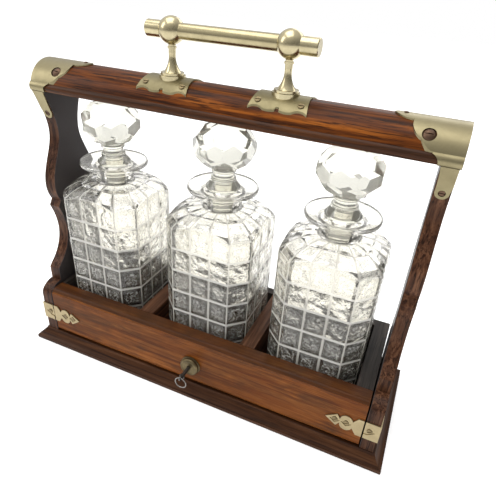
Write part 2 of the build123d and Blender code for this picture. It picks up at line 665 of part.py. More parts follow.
def flap():
    """Front flap: moulded top edge, rounded lower edge, mortised for lock, bolts and pins."""
    top = WALL_TOP_Z
    section = [
        Line((0, FLAP_BACK_Y, FLAP_BOTTOM_Z + FLAP_HEEL_CHAMFER), (0, FLAP_BACK_Y, top)),
        Line((0, FLAP_BACK_Y, top), (0, FRONT_Y + 1.2 + FLAP_TOP_R, top)),
        ThreePointArc((0, FRONT_Y + 1.2 + FLAP_TOP_R, top),
                      (0, FRONT_Y + 1.2 + FLAP_TOP_R * (1 - cos(pi / 4)), top - FLAP_TOP_R * (1 - sin(pi / 4))),
                      (0, FRONT_Y + 1.2, top - FLAP_TOP_R)),
        Polyline((0, FRONT_Y + 1.2, top - FLAP_TOP_R), (0, FRONT_Y, top - FLAP_TOP_R - 0.5),
                 (0, FRONT_Y, HINGE_Z)),
        ThreePointArc((0, FRONT_Y, HINGE_Z),
                      (0, HINGE_Y - HINGE_R * cos(pi / 4), HINGE_Z - HINGE_R * sin(pi / 4)),
                      (0, HINGE_Y, FLAP_BOTTOM_Z)),
        Polyline((0, HINGE_Y, FLAP_BOTTOM_Z), (0, FLAP_BACK_Y - FLAP_HEEL_CHAMFER, FLAP_BOTTOM_Z),
                 (0, FLAP_BACK_Y, FLAP_BOTTOM_Z + FLAP_HEEL_CHAMFER)),
    ]
    body = prism_x(make_face([e for item in section for e in item.edges()]), -WALL_X, WALL_X)
    body -= block(-CASE_HALF_L, CASE_HALF_L, FLAP_BACK_Y - CASE_DEPTH, FLAP_BACK_Y,
                  LOCK_Z - CASE_HALF_H, LOCK_Z + CASE_HALF_H)
    body -= rod_x(-WALL_X, WALL_X, BOLT_Y, LOCK_Z, BOLT_R + BOLT_FIT)
    body -= keyhole(FRONT_Y - 1, FLAP_BACK_Y - CASE_DEPTH)
    for s in (-1, 1):
        body -= lug_pocket(s)
    return pick(body)


def lug_pocket(s):
    """Room for a hinge lug at every angle of the flap, and the bore for its pin."""
    half = LUG_T / 2 + LUG_GAP
    x = s * lug_x()
    r = LUG_R + LUG_GAP
    a = radians(FLAP_SWING)
    reach = 2 * HINGE_R
    sweep = Polyline(
        (0, HINGE_Y + r, HINGE_Z),
        (0, HINGE_Y - LUG_GAP * cos(a), HINGE_Z + LUG_GAP * sin(a)),
        (0, HINGE_Y - LUG_GAP * cos(a) - reach * sin(a), HINGE_Z + LUG_GAP * sin(a) - reach * cos(a)),
        (0, HINGE_Y - reach, HINGE_Z - reach),
        (0, HINGE_Y + r, HINGE_Z - reach),
        close=True,
    )
    room = rod_x(x - half, x + half, HINGE_Y, HINGE_Z, r)
    room += prism_x(make_face(sweep), x - half, x + half)
    inner = x - s * (LUG_T / 2 + FLAP_PIN_L + 0.3)
    return room + rod_x(x, inner, HINGE_Y, HINGE_Z, FLAP_PIN_R + FLAP_PIN_FIT)


def lug():
    """Right hinge lug: an eye round the flap's pin, on a tang behind it let into the plinth."""
    x = lug_x()
    x0 = x - LUG_T / 2
    x1 = x + LUG_T / 2
    body = rod_x(x0, x1, HINGE_Y, HINGE_Z, LUG_R)
    body += block(x0, x1, HINGE_Y, HINGE_Y + LUG_R, PLINTH_H - LUG_TANG, HINGE_Z)
    return pick(body - rod_x(x0, x1, HINGE_Y, HINGE_Z, FLAP_PIN_R))


def strap_face():
    """Flap strap, drawn from its straight end at u = 0 to its point at u = STRAP_L."""
    h = STRAP_H / 2
    top = []
    for s in (-1, 1):
        top.append(Polyline((0, s * h), (4.6, s * h), (8.4, s * 0.36 * h)))
        top.append(ThreePointArc((8.4, s * 0.36 * h), (13.2, s * 0.86 * h), (18.2, s * 0.18 * h)))
        top.append(Polyline((18.2, s * 0.18 * h), (21.0, s * 0.70 * h), (STRAP_L, 0)))
    edges = [e for item in top for e in item.edges()]
    edges.append(Line((0, -h), (0, h)))
    return make_face(edges)


def strap():
    """Right flap strap with a sunk eye round each of its two screws."""
    plane = Plane(origin=(WALL_X, FRONT_Y, STRAP_Z), x_dir=(-1, 0, 0), z_dir=(0, -1, 0))
    body = extrude(plane * strap_face(), amount=PLATE_T)
    for u in strap_screw_us():
        sunk = make_face(Polyline((u - 4.1, 0), (u, 3.6), (u + 4.1, 0), (u, -3.6), close=True))
        body -= extrude(Plane(plane.location * Pos(0, 0, PLATE_T / 2)) * sunk, amount=PLATE_T)
    return body


def strap_screw_us():
    """Screws of the flap strap, from its straight end."""
    return 13.2, 22.4


def upright_strap():
    """Right upright's strap: plate on the front with a sunk half eye, bent round the corner."""
    x0 = UPRIGHT_IN_X
    x1 = BODY_X + PLATE_T
    z0 = STRAP_Z - STRAP_H / 2
    z1 = STRAP_Z + STRAP_H / 2
    body = block(x0, x1, FRONT_Y - PLATE_T, FRONT_Y, z0, z1)
    body += block(BODY_X, x1, FRONT_Y, FRONT_Y + STRAP_WRAP, z0, z1)
    plane = Plane(origin=(x0, FRONT_Y - PLATE_T / 2, STRAP_Z), x_dir=(1, 0, 0), z_dir=(0, -1, 0))
    sunk = make_face(Polyline((0, 4.6), (3.2, 4.2), (8.6, 0), (3.2, -4.2), (0, -4.6), close=True))
    return pick(body - extrude(plane * sunk, amount=PLATE_T))


def strap_screws():
    """Screw heads of both flap straps."""
    heads = []
    for s in (-1, 1):
        for u in strap_screw_us():
            heads.append(flat_head(s * (WALL_X - u), SCREW_R))
    return Compound(heads)


def flat_head(x, r):
    """Slotted head in a strap, facing the front."""
    plane = Plane(origin=(x, FRONT_Y - PLATE_T / 2, STRAP_Z), x_dir=(1, 0, 0), z_dir=(0, -1, 0))
    return plane * Rot(0, 0, 35) * flat_screw(r, SCREW_HEAD_H)


# ---------------------------------------------------------------- lock and key


def keyhole(y0, y1, grow=0.25):
    """Keyhole along Y: a round hole with a slot below it for the bit."""
    hole = rod_y(0, y0, y1, LOCK_Z, KEY_R + grow)
    half = KEY_BIT_T / 2 + grow
    return hole + block(-half, half, y0, y1, LOCK_Z - KEY_BIT_R - grow, LOCK_Z)


def collar():
    """Raised round lock collar with a rolled rim and a sunk face."""
    r = COLLAR_R
    outline = Polyline((0, 0), (r, 0), (r, 1.0), (r - 0.7, 1.4)).edges()
    outline += ThreePointArc((r - 0.7, 1.4), (r - 0.9, COLLAR_OUT - 0.6), (r - 1.9, COLLAR_OUT)).edges()
    outline += Polyline((r - 1.9, COLLAR_OUT), (r - 3.0, COLLAR_OUT - 0.6), (0, COLLAR_OUT - 0.6), (0, 0)).edges()
    plane = Plane(origin=(0, FRONT_Y, LOCK_Z), x_dir=(1, 0, 0), z_dir=(0, -1, 0))
    body = plane * revolve(Plane.XZ * make_face(outline), axis=Axis.Z)
    return pick(body - keyhole(FRONT_Y - COLLAR_OUT - 1, FRONT_Y))


def lock_case():
    """Lock case let into the back of the flap: an open box bored for arbor and bolts."""
    y0 = FLAP_BACK_Y - CASE_DEPTH
    y1 = FLAP_BACK_Y - CASE_T
    body = block(-CASE_HALF_L, CASE_HALF_L, y0, y1, LOCK_Z - CASE_HALF_H, LOCK_Z + CASE_HALF_H)
    inner = CASE_HALF_L - CASE_T
    body -= block(-inner, inner, y0 + CASE_T, y1, LOCK_Z - CASE_HALF_H + CASE_T, LOCK_Z + CASE_HALF_H - CASE_T)
    body -= rod_x(-CASE_HALF_L, CASE_HALF_L, BOLT_Y, LOCK_Z, BOLT_R + BOLT_FIT)
    return pick(body - keyhole(y0 - 1, y0 + CASE_T))


def lock_cover():
    """Cover plate of the lock, flush with the back of the flap, with the arbor's bearing."""
    y0 = FLAP_BACK_Y - CASE_T
    plate = block(-CASE_HALF_L, CASE_HALF_L, y0, FLAP_BACK_Y, LOCK_Z - CASE_HALF_H, LOCK_Z + CASE_HALF_H)
    return plate - rod_y(0, y0, FLAP_BACK_Y, LOCK_Z, KEY_BIT_R + 0.8 + ARBOR_FIT)


def tooth(width_share, outwards):
    """Straight-sided tooth about the pitch line: x along the pitch, y out from it."""
    pitch = pi * TOOTH_MODULE
    half = width_share * pitch / 2
    lean = 0.3 * TOOTH_MODULE
    root = -1.25 * TOOTH_MODULE * outwards
    tip = TOOTH_TIP * TOOTH_MODULE * outwards
    pts = [(-half - lean, root), (half + lean, root), (half - 0.6 * lean, tip), (-half + 0.6 * lean, tip)]
    return make_face(Polyline(*pts, close=True))


def pinion():
    """Pinion on its arbor, with the hole that takes the key's bit."""
    root_r = PITCH_R - 1.25 * TOOTH_MODULE
    face = Circle(root_r)
    for i in range(PINION_TEETH):
        face += Rot(0, 0, i * 360 / PINION_TEETH) * Pos(0, PITCH_R, 0) * tooth(TOOTH_SHARE, 1)
    plane = Plane(origin=(0, BOLT_Y + GEAR_T / 2, LOCK_Z), x_dir=(1, 0, 0), z_dir=(0, -1, 0))
    body = extrude(plane * face, amount=GEAR_T)
    front = FLAP_BACK_Y - CASE_DEPTH + CASE_T + 0.1
    body += rod_y(0, front, BOLT_Y, LOCK_Z, KEY_BIT_R + 0.8)
    body += rod_y(0, BOLT_Y, FLAP_BACK_Y - 0.2, LOCK_Z, KEY_BIT_R + 0.8)
    return pick(body - keyhole(front - 1, FLAP_BACK_Y - 1.4, KEY_FIT))


def bolt():
    """Right bolt: round rod, cranked tail and a rack under the pinion."""
    pitch = pi * TOOTH_MODULE
    inner = 20.0
    rod = rod_x(inner, WALL_X - BOLT_HIDE, BOLT_Y, LOCK_Z, BOLT_R)
    y0 = BOLT_Y - GEAR_T / 2
    y1 = BOLT_Y + GEAR_T / 2
    root_z = LOCK_Z - PITCH_R - 1.25 * TOOTH_MODULE
    back_z = root_z - 2.4
    rack = block(-PITCH_R - BOLT_TRAVEL, inner + 4, y0, y1, back_z, root_z)
    rack += block(inner, inner + 4, y0, y1, back_z, LOCK_Z + BOLT_R)
    plane = Plane(origin=(0, y1, LOCK_Z - PITCH_R), x_dir=(1, 0, 0), z_dir=(0, -1, 0))
    for i in range(-4, 2):
        face = plane * Pos((i + 0.5) * pitch, 0, 0) * tooth(TOOTH_SHARE, 1)
        rack += extrude(face, amount=GEAR_T)
    return pick(rod + rack)


def key():
    """Key: round shank, flat bit inside the pinion, and an eye for the ring."""
    end = FRONT_Y - COLLAR_OUT - KEY_OUT
    inner = FLAP_BACK_Y - 1.6
    body = rod_y(0, end + 3, inner, LOCK_Z, KEY_R)
    body += block(-KEY_BIT_T / 2, KEY_BIT_T / 2, BOLT_Y - GEAR_T / 2, inner, LOCK_Z - KEY_BIT_R, LOCK_Z)
    body += rod_y(0, end + 4.4, end + 5.6, LOCK_Z, KEY_R + 0.9)
    eye = rod_x(-KEY_EYE_T / 2, KEY_EYE_T / 2, key_eye_y(), LOCK_Z, 2.3)
    body += eye
    return pick(body - rod_x(-KEY_EYE_T, KEY_EYE_T, key_eye_y(), LOCK_Z, KEY_EYE_R))


def key_eye_y():
    """Middle of the key's eye."""
    return FRONT_Y - COLLAR_OUT - KEY_OUT + 2.3


def key_ring():
    """Thin wire ring that hangs from the key's eye, facing the front."""
    return Pos(0, key_eye_y(), LOCK_Z - KEY_RING_R) * Rot(90, 0, 0) * Torus(KEY_RING_R, KEY_WIRE_R)


# ---------------------------------------------------------------- glass


def cut_square(width, chamfer_len):
    """Square with cut corners, as a face."""
    a = width / 2
    b = a - chamfer_len
    pts = [(a, -b), (a, b), (b, a), (-b, a), (-a, b), (-a, -b), (-b, -a), (b, -a)]
    return make_face(Polyline(*pts, close=True))


def groove(x, y, turn):
    """Upright V groove at a point of the body's outline, from the foot into the shoulder."""
    side = sqrt(2) * CUT_DEPTH
    top = BODY_SHOULDER_H + SHOULDER_H
    return Pos(x, y, top / 2) * Rot(0, 0, 45 + turn) * Box(side, side, top)


def grooves():
    """Upright grooves between the columns of cuts, and along both edges of each cut corner."""
    pitch = CHAMFER_FACE / CUT_COLUMNS
    cuts = []
    for quarter in range(4):
        turned = Rot(0, 0, 90 * quarter)
        for i in range(1, CUT_COLUMNS):
            cuts.append(turned * groove(DECANTER_W / 2, i * pitch - CHAMFER_FACE / 2, 0))
        for s in (-1, 1):
            cuts.append(turned * groove(DECANTER_W / 2, s * CHAMFER_FACE / 2, s * 22.5))
    return cuts


def row_groove(z):
    """V groove round the body, between two rows of cuts."""
    d = CUT_DEPTH
    slab = extrude(cut_square(DECANTER_W + 2, DECANTER_CHAMFER), amount=2 * d)
    waist = extrude(cut_square(DECANTER_W, DECANTER_CHAMFER), amount=d, taper=45)
    slab -= waist
    slab -= Pos(0, 0, 2 * d) * mirror(waist, about=Plane.XY)
    return Pos(0, 0, z - d) * slab


def decanter():
    """Square decanter: lattice-cut body, domed shoulder, ringed neck, dished lip, ground bore."""
    corner_r = hypot(DECANTER_W / 2, CHAMFER_FACE / 2) + 0.6
    z1 = BODY_SHOULDER_H
    z2 = z1 + SHOULDER_H
    ring_low = z2 + NECK_RING_RISE
    ring_top = ring_low + NECK_RING_H
    under = LIP_H - LIP_T
    foot = NECK_R + 1.2
    edges = Polyline((0, 0), (corner_r, 0), (corner_r, z1)).edges()
    edges += ThreePointArc((corner_r, z1), (corner_r - 12, z1 + 0.65 * SHOULDER_H), (foot, z2)).edges()
    edges += Polyline((foot, z2), (NECK_R, z2 + 1.2), (NECK_R, ring_low), (NECK_RING_R, ring_low + 0.6),
                      (NECK_RING_R, ring_top - 0.6), (NECK_R, ring_top)).edges()
    edges += ThreePointArc((NECK_R, ring_top), (NECK_R + 4.5, under - 1.6), (LIP_R - 1, under)).edges()
    edges += ThreePointArc((LIP_R - 1, under), (LIP_R, LIP_H - LIP_T / 2), (LIP_R - 1, LIP_H)).edges()
    edges += ThreePointArc((LIP_R - 1, LIP_H), (0.6 * LIP_R + 0.4 * DISH_R, MOUTH_H + 0.3 * DISH_DEPTH),
                           (DISH_R, MOUTH_H)).edges()
    edges += Polyline((DISH_R, MOUTH_H), (0, MOUTH_H), (0, 0)).edges()
    outer = revolve(Plane.XZ * make_face(edges), axis=Axis.Z)
    outer &= extrude(cut_square(DECANTER_W, DECANTER_CHAMFER), amount=LIP_H)
    outer -= grooves()
    outer -= [row_groove(CUT_LOW_H + i * CUT_ROW_H) for i in range(CUT_ROWS - 1)]
    return pick(outer - decanter_bore())


def decanter_bore():
    """Inside of the decanter: squared hollow, domed shoulder and tapered neck bore."""
    t = DECANTER_WALL
    corner_r = hypot(DECANTER_W / 2, CHAMFER_FACE / 2) + 0.6 - t
    z1 = BODY_SHOULDER_H
    z2 = z1 + SHOULDER_H - t
    mouth = grind_r(0) + GRIND_FIT
    low = grind_r(GRIND_L) + GRIND_FIT
    edges = Polyline((0, DECANTER_FLOOR), (corner_r, DECANTER_FLOOR), (corner_r, z1)).edges()
    edges += ThreePointArc((corner_r, z1), (corner_r - 14, z1 + 0.68 * (SHOULDER_H - t)), (low + 2, z2)).edges()
    edges += Polyline((low + 2, z2), (low, z2 + 1), (low, MOUTH_H - GRIND_L), (mouth, MOUTH_H), (0, MOUTH_H),
                      (0, DECANTER_FLOOR)).edges()
    bore = revolve(Plane.XZ * make_face(edges), axis=Axis.Z)
    inner = cut_square(DECANTER_W - 2 * t, DECANTER_CHAMFER - 0.6 * t)
    return bore & extrude(inner, amount=LIP_H)


def grind_r(depth):
    """Radius of the ground stem at a depth below the mouth."""
    return GRIND_R - GRIND_TAPER * depth / GRIND_L


def stopper():
    """Stopper: faceted ball, ringed waist, flange and ground stem; z = 0 is the mouth."""
    waist_top = DISH_DEPTH + STOPPER_WAIST_H + 0.6
    centre = DISH_DEPTH + STOPPER_WAIST_H + STOPPER_HALF_H
    ball = Pos(0, 0, centre) * Cylinder(STOPPER_R * 1.2, 2 * STOPPER_HALF_H)
    step = 360 / FACETS_ROUND
    belts = [(0, 0, 0.97), (33, 0.5, 0.97), (-33, 0.5, 0.97), (62, 0, 0.97), (-62, 0, 0.97)]
    squash = STOPPER_HALF_H / STOPPER_R
    for lat, shift, reach in belts:
        for i in range(FACETS_ROUND):
            ball = split(ball, bisect_by=facet_plane(lat, (i + shift) * step, reach, squash, centre),
                         keep=Keep.BOTTOM)
    top = grind_r(0)
    waist = STOPPER_WAIST_R
    ring = DISH_DEPTH + 0.5 * STOPPER_WAIST_H
    edges = Polyline((0, -GRIND_L + 1.5), (grind_r(GRIND_L - 1.5), -GRIND_L + 1.5), (top, 0), (STEM_FLANGE_R, 0),
                     (STEM_SKIRT_R, 2.8), (STEM_SKIRT_R, 3.8), (waist + 0.7, ring - 1.0)).edges()
    edges += ThreePointArc((waist + 0.7, ring - 1.0), (waist + 1.3, ring), (waist, ring + 0.9)).edges()
    edges += ThreePointArc((waist, ring + 0.9), (waist - 0.4, 0.5 * (ring + waist_top)), (waist, waist_top - 2.2)).edges()
    edges += Polyline((waist, waist_top - 2.2), (waist + 1.2, waist_top - 1.4), (waist + 1.2, waist_top),
                      (0, waist_top), (0, -GRIND_L + 1.5)).edges()
    return pick(ball + revolve(Plane.XZ * make_face(edges), axis=Axis.Z))


def facet_plane(latitude, azimuth, reach, squash, centre):
    """Facet of the ball, tangent to a flattened sphere of the given reach."""
    lat = radians(latitude)
    az = radians(azimuth)
    r = STOPPER_R * reach
    point = (r * cos(lat) * cos(az), r * cos(lat) * sin(az), centre + r * squash * sin(lat))
    normal = (cos(lat) * cos(az), cos(lat) * sin(az), sin(lat) / squash)
    return Plane(origin=point, z_dir=normal)


# ---------------------------------------------------------------- all pieces


def hinge_and_pivots():
    """Lugs and pins of the flap, pivot pins and stop pins of the frame, and its bushes."""
    pins = []
    pivots = []
    stops = []
    y, z = stop_place()
    for name, s in SIDES.items():
        yield f"flap_lug_{name}", mirrored(lug(), s)
        x = s * lug_x()
        pins.append(rod_x(x + s * LUG_T / 2, x - s * (LUG_T / 2 + FLAP_PIN_L), HINGE_Y, HINGE_Z, FLAP_PIN_R))
        pivots.append(rod_x(pin_in_x(s), s * (UPRIGHT_IN_X + 8.5), PIVOT_Y, PIVOT_Z, PIVOT_R))
        stops.append(rod_x(pin_in_x(s), s * (UPRIGHT_IN_X + 5), y, z, STOP_PIN_R))
        bush = rod_x(UPRIGHT_IN_X, UPRIGHT_IN_X + 9, PIVOT_Y, PIVOT_Z, bush_r())
        bush -= rod_x(UPRIGHT_IN_X, UPRIGHT_IN_X + 9, PIVOT_Y, PIVOT_Z, PIVOT_R + PIVOT_FIT)
        yield f"pivot_bush_{name}", mirrored(bush, s)
    yield "flap_pins", Compound(pins)
    yield "frame_pivots", Compound(pivots)
    yield "frame_stops", Compound(stops)


def frame():
    """Uprights, rail, caps, their screws and the uprights' straps."""
    yield "top_rail", rail()
    right_upright = upright()
    right_cap = cap()
    for name, s in SIDES.items():
        yield f"upright_{name}", mirrored(right_upright, s)
        yield f"corner_cap_{name}", mirrored(right_cap, s)
        yield f"upright_strap_{name}", mirrored(upright_strap(), s)
    yield "cap_screws", cap_screws()
    yield "upright_strap_screws", Compound([flat_head(s * (UPRIGHT_IN_X + 4.2), SCREW_R) for s in (-1, 1)])


def front_flap_and_lock():
    """Flap with its straps, and the lock with its bolts and key."""
    yield "front_flap", flap()
    for name, s in SIDES.items():
        yield f"flap_strap_{name}", mirrored(strap(), s)
    yield "flap_strap_screws", strap_screws()
    yield "lock_collar", collar()
    yield "lock_case", lock_case()
    yield "lock_cover", lock_cover()
    yield "lock_pinion", pinion()
    right_bolt = bolt()
    yield "lock_bolt_right", right_bolt
    centre = Pos(0, BOLT_Y, LOCK_Z)
    yield "lock_bolt_left", centre * Rot(0, 180, 0) * centre.inverse() * right_bolt
    yield "key", key()
    yield "key_ring", key_ring()


def glass():
    """Three decanters and their stoppers."""
    bottle = decanter()
    plug = stopper()
    for name, x in DECANTER_XS.items():
        yield f"decanter_{name}", Pos(x, DECANTER_Y, DECANTER_Z) * bottle
        yield f"stopper_{name}", Pos(x, DECANTER_Y, DECANTER_Z + MOUTH_H) * plug


def main():
    """Write one STEP file for each node."""
    os.makedirs("parts", exist_ok=True)
    for group in (plinth, tray, hinge_and_pivots, frame, handle, front_flap_and_lock, glass):
        for name, shape in group():
            export_step(shape, f"parts/{name}.step")


main()
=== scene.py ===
"""Looks of the antique tantalus: polished wood, satin metal and cut glass round the frame."""
import math

import bpy
from mathutils import Matrix, Vector


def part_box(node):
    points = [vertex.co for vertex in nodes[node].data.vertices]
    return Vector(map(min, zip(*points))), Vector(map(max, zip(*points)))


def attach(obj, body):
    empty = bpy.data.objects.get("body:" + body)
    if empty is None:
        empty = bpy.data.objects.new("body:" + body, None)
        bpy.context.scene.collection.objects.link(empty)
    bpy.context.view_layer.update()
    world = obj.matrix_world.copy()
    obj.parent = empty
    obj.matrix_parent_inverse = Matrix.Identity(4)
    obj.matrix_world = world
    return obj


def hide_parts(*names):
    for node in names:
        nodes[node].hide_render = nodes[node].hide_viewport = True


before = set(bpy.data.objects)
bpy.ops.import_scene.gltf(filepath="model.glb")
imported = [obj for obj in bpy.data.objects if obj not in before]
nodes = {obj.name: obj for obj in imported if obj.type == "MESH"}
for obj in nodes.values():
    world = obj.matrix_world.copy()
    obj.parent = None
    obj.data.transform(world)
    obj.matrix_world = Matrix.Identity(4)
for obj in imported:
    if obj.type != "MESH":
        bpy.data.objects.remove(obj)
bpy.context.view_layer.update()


# ---------------------------------------------------------------- camera, floor and light

CAMERA_AT = Vector((0.14641, -0.30945, 0.33031))
CAMERA_RIGHT = Vector((0.91554, 0.39732, 0.06256))
CAMERA_UP = Vector((-0.25350, 0.44927, 0.85668))
FOCAL_PX = 453.265
FRAME_PX = 500             # height of the photograph's frame
SENSOR_MM = 36.0
NEAREST = 0.01
FARTHEST = 20
FLOOR_HALF = 4.0
FLOOR_WHITE = (0.95, 0.95, 0.95)
FLOOR_ROUGH = 0.9
FLOOR_GLOW = 0.4           # own light, which keeps the floor white in the distance
WHITE = (1, 1, 1, 1)

BRIGHT_SIDE = (-0.38, 0.10, 0.92)      # direction of the studio's brightest part
# grey of the studio at each place on the way from its darkest to its brightest part
SURROUND = [(0.0, 0.18), (0.36, 0.25), (0.62, 0.50), (0.80, 0.85), (1.0, 1.2)]
THROUGH_GLASS = 0.97                   # share of the white backdrop in what the glass refracts

# soft boxes: name, place, target, size and watts
LIGHTS = [
    ("top_box", (-0.2, -0.1, 1.3), (0, 0, 0.1), (1.0, 0.8), 6),
    ("left_box", (-1.1, -0.6, 0.9), (0, 0, 0.12), (0.5, 0.8), 4),
    ("back_box", (0.3, 1.2, 0.9), (0, 0.2, 0.0), (1.4, 0.6), 5),
]

# colour sockets of Blender's mix node
MIX_FACTOR, MIX_A, MIX_B, MIX_OUT = 0, 6, 7, 2


def add_camera():
    """Camera at the photograph's viewpoint."""
    data = bpy.data.cameras.new("camera")
    data.sensor_fit = "VERTICAL"
    data.sensor_height = SENSOR_MM
    data.lens = FOCAL_PX * SENSOR_MM / FRAME_PX
    data.clip_start = NEAREST
    data.clip_end = FARTHEST
    camera = bpy.data.objects.new("camera", data)
    back = CAMERA_RIGHT.cross(CAMERA_UP).normalized()
    up = back.cross(CAMERA_RIGHT).normalized()
    turn = Matrix((up.cross(back), up, back)).transposed().to_4x4()
    camera.matrix_world = Matrix.Translation(CAMERA_AT) @ turn
    bpy.context.scene.collection.objects.link(camera)
    bpy.context.scene.camera = camera


def add_floor():
    """Large pale floor under the object."""
    half = FLOOR_HALF
    mesh = bpy.data.meshes.new("floor")
    corners = [(-half, -half, 0), (half, -half, 0), (half, half, 0), (-half, half, 0)]
    mesh.from_pydata(corners, [], [(0, 1, 2, 3)])
    floor = bpy.data.objects.new("floor", mesh)
    bpy.context.scene.collection.objects.link(floor)
    paint = Paint("floor_white")
    glow = {"Emission_Color": WHITE, "Emission_Strength": FLOOR_GLOW}
    paint.shader(FLOOR_WHITE, FLOOR_ROUGH, Specular_IOR_Level=0.0, **glow)
    mesh.materials.append(paint.done())


def add_world():
    """Studio surround: white backdrop, bright overhead and dim towards the front."""
    world = bpy.data.worlds.new("studio")
    world.use_nodes = True
    tree = world.node_tree
    sky = tree.nodes["Background"]
    way = tree.nodes.new("ShaderNodeTexCoord")
    turn = tree.nodes.new("ShaderNodeVectorMath")
    turn.operation = "DOT_PRODUCT"
    turn.inputs[1].default_value = BRIGHT_SIDE
    spread = tree.nodes.new("ShaderNodeMapRange")
    spread.inputs["From Min"].default_value = -1.0
    shade = tree.nodes.new("ShaderNodeValToRGB")
    fill_ramp(shade.color_ramp, SURROUND)
    backdrop = tree.nodes.new("ShaderNodeMix")
    backdrop.data_type = "RGBA"
    backdrop.inputs[MIX_B].default_value = WHITE
    eye = tree.nodes.new("ShaderNodeLightPath")
    through = tree.nodes.new("ShaderNodeMath")
    through.operation = "MULTIPLY_ADD"
    through.use_clamp = True
    through.inputs[1].default_value = THROUGH_GLASS
    tree.links.new(way.outputs["Generated"], turn.inputs[0])
    tree.links.new(turn.outputs["Value"], spread.inputs["Value"])
    tree.links.new(spread.outputs["Result"], shade.inputs["Fac"])
    tree.links.new(eye.outputs["Is Transmission Ray"], through.inputs[0])
    tree.links.new(eye.outputs["Is Camera Ray"], through.inputs[2])
    tree.links.new(through.outputs["Value"], backdrop.inputs[MIX_FACTOR])
    tree.links.new(shade.outputs["Color"], backdrop.inputs[MIX_A])
    tree.links.new(backdrop.outputs[MIX_OUT], sky.inputs["Color"])
    bpy.context.scene.world = world


def add_lights():
    """Soft boxes above, to the left and behind, for a white floor and soft highlights."""
    for name, at, target, size, watts in LIGHTS:
        data = bpy.data.lights.new(name, "AREA")
        data.shape = "RECTANGLE"
        data.size, data.size_y = size
        data.energy = watts
        lamp = bpy.data.objects.new(name, data)
        lamp.location = at
        lamp.rotation_euler = (Vector(target) - Vector(at)).to_track_quat("-Z", "Y").to_euler()
        bpy.context.scene.collection.objects.link(lamp)
    bpy.context.scene.view_settings.view_transform = "Standard"


# ---------------------------------------------------------------- node materials


def fill_ramp(band, stops):
    """Give a colour ramp its stops; each is a place and a colour or a grey."""
    for i, (place, colour) in enumerate(stops):
        colour = colour if hasattr(colour, "__len__") else (colour,) * 3
        if i < 2:
            stop = band.elements[i]
            stop.position = place
        else:
            stop = band.elements.new(place)
        stop.color = (*colour, 1)


class Paint:
    """A node material under construction."""

    def __init__(self, name):
        self.material = bpy.data.materials.new(name)
        self.material.use_nodes = True
        self.tree = self.material.node_tree
        self.tree.nodes.clear()
        self.out = self.tree.nodes.new("ShaderNodeOutputMaterial")
        self.surface = None

    def node(self, kind, **settings):
        """New node with some of its properties set."""
        made = self.tree.nodes.new(kind)
        for key, value in settings.items():
            setattr(made, key, value)
        return made

    def link(self, a, b):
        """Link an output to an input."""
        self.tree.links.new(a, b)

    def place(self):
        """Object coordinates in metres."""
        return self.node("ShaderNodeTexCoord").outputs["Object"]

    def noise(self, stretched, scale, detail, rough, warp=0.0):
        """Noise from 0 to 1 over the object coordinates, stretched by axis and then scaled."""
        mapping = self.node("ShaderNodeMapping")
        mapping.inputs["Scale"].default_value = stretched
        self.link(self.place(), mapping.inputs["Vector"])
        made = self.node("ShaderNodeTexNoise")
        made.inputs["Scale"].default_value = scale
        made.inputs["Detail"].default_value = detail
        made.inputs["Roughness"].default_value = rough
        made.inputs["Distortion"].default_value = warp
        self.link(mapping.outputs["Vector"], made.inputs["Vector"])
        return made.outputs["Fac"]

    def ramp(self, value, stops):
        """Colour ramp over a value."""
        made = self.node("ShaderNodeValToRGB")
        fill_ramp(made.color_ramp, stops)
        self.link(value, made.inputs["Fac"])
        return made.outputs["Color"]

    def mix(self, factor, a, b):
        """Mix of two colours or sockets by a number or a socket."""
        made = self.node("ShaderNodeMix", data_type="RGBA")
        for socket, value in ((MIX_FACTOR, factor), (MIX_A, a), (MIX_B, b)):
            if hasattr(value, "links"):
                self.link(value, made.inputs[socket])
            else:
                made.inputs[socket].default_value = value
        return made.outputs[MIX_OUT]

    def bump(self, height, depth, strength=1.0):
        """Normal of a surface that height raises by up to a depth in metres."""
        made = self.node("ShaderNodeBump")
        made.inputs["Strength"].default_value = strength
        made.inputs["Distance"].default_value = depth
        self.link(height, made.inputs["Height"])
        return made.outputs["Normal"]

    def shader(self, base, rough, metal=0.0, normal=None, **extra):
        """The surface's shader; base and rough are values or sockets, extra names other sockets."""
        made = self.node("ShaderNodeBsdfPrincipled")
        for name, value in (("Base Color", base), ("Roughness", rough)):
            if hasattr(value, "links"):
                self.link(value, made.inputs[name])
            elif name == "Base Color":
                made.inputs[name].default_value = (*value, 1)
            else:
                made.inputs[name].default_value = value
        made.inputs["Metallic"].default_value = metal
        for name, value in extra.items():
            made.inputs[name.replace("_", " ")].default_value = value
        if normal is not None:
            self.link(normal, made.inputs["Normal"])
        self.surface = made.outputs["BSDF"]
        return made

    def done(self):
        """Finish the material."""
        self.link(self.surface, self.out.inputs["Surface"])
        return self.material


def dim(colour, share):
    """A colour darkened to a share of its light, with alpha."""
    return tuple(share * c for c in colour) + (1,)


def past(paint, axis, limit, sign=1, fold=False):
    """1 where the object coordinate, or its size with fold, is past a limit, 0 elsewhere."""
    split = paint.node("ShaderNodeSeparateXYZ")
    paint.link(paint.place(), split.inputs[0])
    value = split.outputs["XYZ".index(axis)]
    if fold:
        size = paint.node("ShaderNodeMath", operation="ABSOLUTE")
        paint.link(value, size.inputs[0])
        value = size.outputs[0]
    test = paint.node("ShaderNodeMath", operation="GREATER_THAN" if sign > 0 else "LESS_THAN")
    paint.link(value, test.inputs[0])
    test.inputs[1].default_value = limit
    return test.outputs[0]


def set_material(names, material):
    """Give CAD nodes one material."""
    for name in names:
        data = nodes[name].data
        data.materials.clear()
        data.materials.append(material)


def both(stem):
    """Names of the left and right node."""
    return [stem + "_left", stem + "_right"]


# ---------------------------------------------------------------- wood

